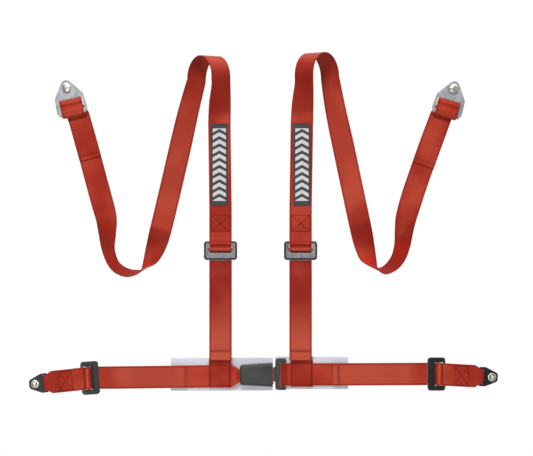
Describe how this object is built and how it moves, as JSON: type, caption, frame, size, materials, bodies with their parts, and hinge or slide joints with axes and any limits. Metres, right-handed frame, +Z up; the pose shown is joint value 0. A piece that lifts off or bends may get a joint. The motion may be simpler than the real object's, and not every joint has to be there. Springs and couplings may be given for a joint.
{
  "type": "four-point racing harness",
  "caption": "Red webbing racing harness: push-button buckle, lap and shoulder belts with slide adjusters, bolt-on end plates and mesh pads.",
  "frame": {"origin": "centre of the whole harness's bounding box; the buckle's centre is at (-0.01544, -0.03393, -0.33872)", "axes": "+X from the buckle towards the tongue (the viewer's right), -Y towards the viewer, +Z up towards the shoulder belts"},
  "size_m": [1.0538, 0.1232, 0.7674],
  "materials": {
    "webbing": "woven polyester, matt",
    "label": "woven label with plain stripes",
    "mesh_pad": "shiny woven mesh",
    "charcoal_plastic": "fine texture",
    "red_plastic": "smooth",
    "black_steel": "black coated, worn edges",
    "zinc_plate": "zinc plated, dull",
    "zinc_bolt": "zinc plated, light",
    "bright_steel": "plated",
    "spring_wire": "drawn wire"
  },
  "bodies": {
    "buckle": {"buckle_front_cover": "charcoal_plastic", "buckle_rear_cover": "charcoal_plastic", "buckle_frame": "bright_steel", "cover_screw_upper": "bright_steel", "cover_screw_lower": "bright_steel", "latch_spring": "spring_wire", "button_spring": "spring_wire", "ejector_spring": "spring_wire", "left_pad_behind_buckle": "mesh_pad"},
    "button": {"release_button": "red_plastic"},
    "latch": {"latch_plate": "bright_steel"},
    "ejector": {"ejector": "charcoal_plastic"},
    "tongue": {"tongue_plate": "bright_steel", "tongue_cover": "charcoal_plastic", "right_pad_behind_tongue": "mesh_pad"},
    "left_lap": {"left_lap_strap": "webbing", "left_pad": "mesh_pad", "left_shoulder_patch": "webbing"},
    "left_lap_adjuster": {"left_lap_adjuster": "black_steel", "left_lap_strap_turn": "webbing", "left_lap_end_loop": "webbing"},
    "left_lap_tail": {"left_lap_tail": "webbing"},
    "left_lap_anchor": {"left_lap_anchor_plate": "black_steel"},
    "left_lap_bolt": {"left_lap_bolt": "zinc_bolt", "left_lap_bolt_collar": "zinc_bolt"},
    "left_shoulder": {"left_shoulder_strap": "webbing"},
    "left_shoulder_adjuster": {"left_shoulder_adjuster": "black_steel", "left_shoulder_strap_turn": "webbing", "left_upper_strap": "webbing", "left_label": "label"},
    "left_shoulder_tail": {"left_shoulder_tail": "webbing"},
    "left_shoulder_rear": {"left_rear_strap": "webbing"},
    "left_shoulder_anchor": {"left_shoulder_anchor_plate": "zinc_plate"},
    "left_shoulder_bolt": {"left_shoulder_bolt": "zinc_bolt", "left_shoulder_bolt_washer": "zinc_bolt"},
    "right_lap": {"right_lap_strap": "webbing", "right_pad": "mesh_pad", "right_shoulder_patch": "webbing"},
    "right_lap_adjuster": {"right_lap_adjuster": "black_steel", "right_lap_strap_turn": "webbing", "right_lap_end_loop": "webbing"},
    "right_lap_tail": {"right_lap_tail": "webbing"},
    "right_lap_anchor": {"right_lap_anchor_plate": "black_steel"},
    "right_lap_bolt": {"right_lap_bolt": "zinc_bolt", "right_lap_bolt_collar": "zinc_bolt"},
    "right_shoulder": {"right_shoulder_strap": "webbing"},
    "right_shoulder_adjuster": {"right_shoulder_adjuster": "black_steel", "right_shoulder_strap_turn": "webbing", "right_upper_strap": "webbing", "right_label": "label"},
    "right_shoulder_tail": {"right_shoulder_tail": "webbing"},
    "right_shoulder_rear": {"right_rear_strap": "webbing"},
    "right_shoulder_anchor": {"right_shoulder_anchor_plate": "zinc_plate"},
    "right_shoulder_bolt": {"right_shoulder_bolt": "zinc_bolt", "right_shoulder_bolt_washer": "zinc_bolt"}
  },
  "joints": [
    {"name": "button_press", "type": "slide", "parent": "buckle", "child": "button", "axis": [-1, 0, 0], "range_m": [0, 0.004], "stiffness_N_per_m": 400, "deforming": ["button_spring"]},
    {"name": "latch_lift", "type": "slide", "parent": "buckle", "child": "latch", "axis": [0, -1, 0], "range_m": [0, 0.0018], "deforming": ["latch_spring"]},
    {"name": "ejector_push", "type": "slide", "parent": "buckle", "child": "ejector", "axis": [1, 0, 0], "range_m": [0, 0.008], "deforming": ["ejector_spring"]},
    {"name": "tongue_release", "type": "slide", "parent": "buckle", "child": "tongue", "axis": [1, 0, 0], "range_m": [0, 0.08]},
    {"name": "left_lap_swing", "type": "hinge", "parent": "buckle", "child": "left_lap", "pos_m": [-0.04844, -0.03073, -0.34172], "axis": [0, 0, 1], "range_deg": [-35, 35]},
    {"name": "left_lap_adjust", "type": "slide", "parent": "left_lap", "child": "left_lap_adjuster", "axis": [-0.9999, 0, -0.0122], "range_m": [-0.05, 0.12], "stiffness_N_per_m": 4000, "deforming": ["left_lap_strap"]},
    {"name": "left_lap_tail_feed", "type": "slide", "parent": "left_lap_adjuster", "child": "left_lap_tail", "axis": [-0.9999, 0, -0.0122], "range_m": [-0.05, 0.12], "deforming": ["left_lap_tail"]},
    {"name": "left_lap_anchor_tilt", "type": "hinge", "parent": "left_lap_adjuster", "child": "left_lap_anchor", "pos_m": [-0.48434, -0.03623, -0.35649], "axis": [0.108, 0, -0.9942], "range_deg": [-15, 15]},
    {"name": "left_lap_bolt_turn", "type": "hinge", "parent": "left_lap_anchor", "child": "left_lap_bolt", "pos_m": [-0.50919, -0.03623, -0.35919], "axis": [0, 1, 0], "continuous": true},
    {"name": "left_shoulder_swing", "type": "hinge", "parent": "left_lap", "child": "left_shoulder", "pos_m": [-0.09544, -0.03343, -0.29672], "axis": [1, 0, 0], "range_deg": [-90, 20]},
    {"name": "left_shoulder_adjust", "type": "slide", "parent": "left_shoulder", "child": "left_shoulder_adjuster", "axis": [0, 0, 1], "range_m": [-0.1, 0.15], "stiffness_N_per_m": 4000, "deforming": ["left_shoulder_strap"]},
    {"name": "left_shoulder_tail_feed", "type": "slide", "parent": "left_shoulder_adjuster", "child": "left_shoulder_tail", "axis": [0, 0, 1], "range_m": [-0.1, 0.15], "deforming": ["left_shoulder_tail"]},
    {"name": "left_rear_swing", "type": "hinge", "parent": "left_shoulder_adjuster", "child": "left_shoulder_rear", "pos_m": [-0.12344, 0.00407, 0.37615], "axis": [0.8291, 0.5591, 0], "range_deg": [0, 60]},
    {"name": "left_shoulder_anchor_tilt", "type": "hinge", "parent": "left_shoulder_rear", "child": "left_shoulder_anchor", "pos_m": [-0.42898, -0.00143, 0.24901], "axis": [-0.9724, 0, -0.2334], "range_deg": [-15, 15]},
    {"name": "left_shoulder_bolt_turn", "type": "hinge", "parent": "left_shoulder_anchor", "child": "left_shoulder_bolt", "pos_m": [-0.44194, -0.00143, 0.30298], "axis": [0, 1, 0], "continuous": true},
    {"name": "right_lap_swing", "type": "hinge", "parent": "tongue", "child": "right_lap", "pos_m": [0.04356, -0.03393, -0.33832], "axis": [0, 0, 1], "range_deg": [-35, 35]},
    {"name": "right_lap_adjust", "type": "slide", "parent": "right_lap", "child": "right_lap_adjuster", "axis": [1, 0, 0.0044], "range_m": [-0.05, 0.12], "stiffness_N_per_m": 4000, "deforming": ["right_lap_strap"]},
    {"name": "right_lap_tail_feed", "type": "slide", "parent": "right_lap_adjuster", "child": "right_lap_tail", "axis": [1, 0, 0.0044], "range_m": [-0.05, 0.12], "deforming": ["right_lap_tail"]},
    {"name": "right_lap_anchor_tilt", "type": "hinge", "parent": "right_lap_adjuster", "child": "right_lap_anchor", "pos_m": [0.4843, -0.03943, -0.34232], "axis": [0.0558, 0, 0.9984], "range_deg": [-15, 15]},
    {"name": "right_lap_bolt_turn", "type": "hinge", "parent": "right_lap_anchor", "child": "right_lap_bolt", "pos_m": [0.50926, -0.03943, -0.34372], "axis": [0, 1, 0], "continuous": true},
    {"name": "right_shoulder_swing", "type": "hinge", "parent": "right_lap", "child": "right_shoulder", "pos_m": [0.08306, -0.03663, -0.29672], "axis": [1, 0, 0], "range_deg": [-90, 20]},
    {"name": "right_shoulder_adjust", "type": "slide", "parent": "right_shoulder", "child": "right_shoulder_adjuster", "axis": [0, 0, 1], "range_m": [-0.1, 0.15], "stiffness_N_per_m": 4000, "deforming": ["right_shoulder_strap"]},
    {"name": "right_shoulder_tail_feed", "type": "slide", "parent": "right_shoulder_adjuster", "child": "right_shoulder_tail", "axis": [0, 0, 1], "range_m": [-0.1, 0.15], "deforming": ["right_shoulder_tail"]},
    {"name": "right_rear_swing", "type": "hinge", "parent": "right_shoulder_adjuster", "child": "right_shoulder_rear", "pos_m": [0.12106, 0.00087, 0.383], "axis": [0.8157, -0.5785, 0], "range_deg": [0, 60]},
    {"name": "right_shoulder_anchor_tilt", "type": "hinge", "parent": "right_shoulder_rear", "child": "right_shoulder_anchor", "pos_m": [0.4118, -0.00143, 0.24707], "axis": [-0.9588, 0, 0.284], "range_deg": [-15, 15]},
    {"name": "right_shoulder_bolt_turn", "type": "hinge", "parent": "right_shoulder_anchor", "child": "right_shoulder_bolt", "pos_m": [0.42756, -0.00143, 0.30028], "axis": [0, 1, 0], "continuous": true}
  ],
  "couplings": [
    {"joint": "latch_lift", "follows": "button_press", "ratio": 0.45},
    {"joint": "ejector_push", "follows": "tongue_release", "ratio": 0.1},
    {"joint": "left_lap_tail_feed", "follows": "left_lap_adjust", "ratio": 1},
    {"joint": "left_shoulder_tail_feed", "follows": "left_shoulder_adjust", "ratio": 1},
    {"joint": "right_lap_tail_feed", "follows": "right_lap_adjust", "ratio": 1},
    {"joint": "right_shoulder_tail_feed", "follows": "right_shoulder_adjust", "ratio": 1}
  ]
}
